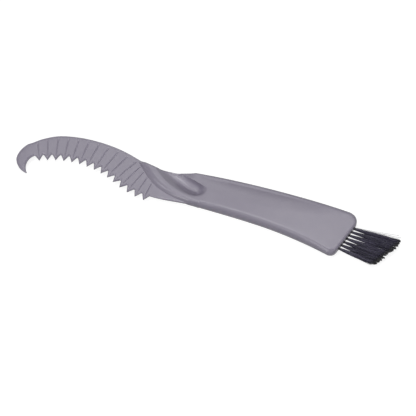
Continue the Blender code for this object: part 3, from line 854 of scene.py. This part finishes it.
def bristle_material():
    """Dark nylon, nearly black towards the trimmed tips, and nearly black at the holes through painted shade
    of the holes.
    """
    material, nodes, links, shader = new_material("nylon_bristle")
    coord = nodes.new("ShaderNodeTexCoord").outputs["Object"]
    lock = noise(nodes, links, stretched(nodes, links, coord, (LOCK_STRETCH, 1.0, 1.0)), LOCK_SCALE, 2.0)
    tint = ramp(nodes, links, lock, BRISTLE_STOPS)
    slope = math.tan(math.radians(TRIM_SLANT))
    tips = TRIM_MIDDLE_X - slope * TUFT_ROW_Y
    from_tips = along_line(nodes, links, coord, slope, tips - DARK_TIP[0], tips - DARK_TIP[1])
    # Painted shade: near the holes the strands turn nearly black, standing in for the holes' shadow on the
    # roots
    painted_hole_shade = along_line(nodes, links, coord, END_TAN, END_X + HOLE_SHADE_REACH[0], END_X + HOLE_SHADE_REACH[1])
    # The darker tips and the painted hole shade mix into the strand colour through one factor
    dark = nodes.new("ShaderNodeMix")
    dark.data_type = "RGBA"
    # Inputs 6 and 7 and output 2 of this node are its colours
    dark.inputs[6].default_value = BRISTLE_TIP_DARK_AND_HOLE_SHADE
    links.new(linked_math(nodes, links, "MULTIPLY", from_tips, painted_hole_shade), dark.inputs[0])
    links.new(tint, dark.inputs[7])
    links.new(dark.outputs[2], shader.inputs["Base Color"])
    streak = noise(nodes, links, coord, STREAK_SCALE, 2.0)
    links.new(spread_value(nodes, links, streak, BRISTLE_ROUGHNESS), shader.inputs["Roughness"])
    bump(nodes, links, shader, ((streak, *STREAK_BUMP),))
    shader.inputs["IOR"].default_value = BRISTLE_IOR
    return material


def anchor_material():
    """Brushed wire, streaked along its height."""
    material, nodes, links, shader = new_material("anchor_strip")
    coord = nodes.new("ShaderNodeTexCoord").outputs["Object"]
    brushed = noise(nodes, links, stretched(nodes, links, coord, (1.0, 1.0, BRUSHED_STRETCH)), BRUSHED_SCALE)
    links.new(ramp(nodes, links, brushed, ANCHOR_STOPS), shader.inputs["Base Color"])
    links.new(spread_value(nodes, links, brushed, ANCHOR_ROUGHNESS), shader.inputs["Roughness"])
    bump(nodes, links, shader, ((brushed, *BRUSHED_BUMP),))
    shader.inputs["Metallic"].default_value = 1.0
    return material


def seen_rays(nodes, links, gloss_share):
    """1 for what the camera sees, also through glass, and a share of that for what gloss reflects."""
    path = nodes.new("ShaderNodeLightPath").outputs
    direct = linked_math(nodes, links, "MAXIMUM", path["Is Camera Ray"], path["Is Transmission Ray"])
    gloss = linked_math(nodes, links, "MULTIPLY", path["Is Glossy Ray"], gloss_share)
    return linked_math(nodes, links, "MAXIMUM", direct, gloss)


def floor_material():
    """White to the camera and to gloss but for the deepest shadow, and mid grey to bounced light."""
    material, nodes, links, shader = new_material("studio_floor")
    nodes.remove(shader)
    grey = nodes.new("ShaderNodeBsdfDiffuse")
    grey.inputs["Color"].default_value = FLOOR_GREY
    glow = nodes.new("ShaderNodeEmission")
    glow.inputs["Color"].default_value = (1, 1, 1, 1)
    away = nodes.new("ShaderNodeVectorMath")
    away.operation = "LENGTH"
    links.new(nodes.new("ShaderNodeTexCoord").outputs["Object"], away.inputs[0])
    level = mapped(nodes, links, away.outputs["Value"], FLOOR_NEAR, FLOOR_FAR)
    seen = seen_rays(nodes, links, FLOOR_GLOSS)
    links.new(linked_math(nodes, links, "MULTIPLY", seen, level), glow.inputs["Strength"])
    both = nodes.new("ShaderNodeAddShader")
    links.new(grey.outputs[0], both.inputs[0])
    links.new(glow.outputs[0], both.inputs[1])
    links.new(both.outputs[0], nodes["Material Output"].inputs["Surface"])
    return material


# Pieces of the tool

plastic = plastic_material()
bristle = bristle_material()
anchor = anchor_material()

moulding = make_moulding(plastic)
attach(moulding, "root")
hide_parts("handle_and_claw")

rng = random.Random(SEED)
clump_places = []
for k in range(CLUMPS):
    along = (k + 0.5) / CLUMPS * 2 - 1
    clump_y = TUFT_ROW_Y + along * CLUMP_REACH + rng.uniform(-CLUMP_ERROR_Y, CLUMP_ERROR_Y)
    clump_z = MIDDLE + rng.uniform(-CLUMP_ERROR_Z, CLUMP_ERROR_Z)
    clump_places.append((clump_y, clump_z, rng.uniform(0, CLUMP_RECESS)))
for number, (mouth, place) in enumerate(tuft_places(), 1):
    tuft = make_tuft(number, mouth, place, clump_places, bristle, rng)
    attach(tuft, "root")
    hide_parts(f"bristle_tuft_{number}")
    for anchor_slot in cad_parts[f"tuft_anchor_{number}"].material_slots:
        anchor_slot.material = anchor

# Floor, lights and camera

bm = bmesh.new()
bmesh.ops.create_grid(bm, x_segments=1, y_segments=1, size=FLOOR_HALF_SIDE)
floor = finish_piece("studio_floor", bm, floor_material())
floor.location.z = -FLOOR_DROP

world = bpy.data.worlds.new("studio_world")
bpy.context.scene.world = world
world.use_nodes = True
sky_nodes, sky_links = world.node_tree.nodes, world.node_tree.links
sky = sky_nodes["Background"]
sky.inputs["Color"].default_value = (1, 1, 1, 1)
sky_links.new(seen_rays(sky_nodes, sky_links, SKY_GLOSS), sky.inputs["Strength"])


def direction(azimuth, elevation):
    """The way out at an azimuth from +X towards +Y and an elevation, both in degrees."""
    around, above = math.radians(azimuth), math.radians(elevation)
    return Vector((math.cos(above) * math.cos(around), math.cos(above) * math.sin(around), math.sin(above)))


def soft_disc(name, azimuth, elevation, power):
    """A round softbox one metre from the tool."""
    lamp = bpy.data.lights.new(name, "AREA")
    lamp.shape = "DISK"
    lamp.size = DISC_DIAMETER
    lamp.energy = power
    obj = bpy.data.objects.new(name, lamp)
    bpy.context.scene.collection.objects.link(obj)
    way = direction(azimuth, elevation)
    obj.location = Vector(LIT_POINT) + way
    obj.rotation_euler = way.to_track_quat("Z", "Y").to_euler()


for number, softbox in enumerate(SOFTBOXES, 1):
    soft_disc(f"softbox_{number}", *softbox)

above, aside = math.radians(CAMERA_ELEVATION), math.radians(CAMERA_AZIMUTH)
view = Vector((math.cos(above) * math.sin(aside), -math.cos(above) * math.cos(aside), math.sin(above)))
lens = bpy.data.cameras.new("camera")
lens.sensor_width = SENSOR_WIDTH
lens.lens = PIXELS_PER_MM * CAMERA_DISTANCE * 1000 / PICTURE_PIXELS * SENSOR_WIDTH
lens.clip_start = 0.01
camera = bpy.data.objects.new("camera", lens)
bpy.context.scene.collection.objects.link(camera)
camera.location = Vector(CAMERA_TARGET) + view * CAMERA_DISTANCE
camera.rotation_euler = (-view).to_track_quat("-Z", "Y").to_euler()
bpy.context.scene.camera = camera
bpy.context.scene.view_settings.view_transform = "Standard"
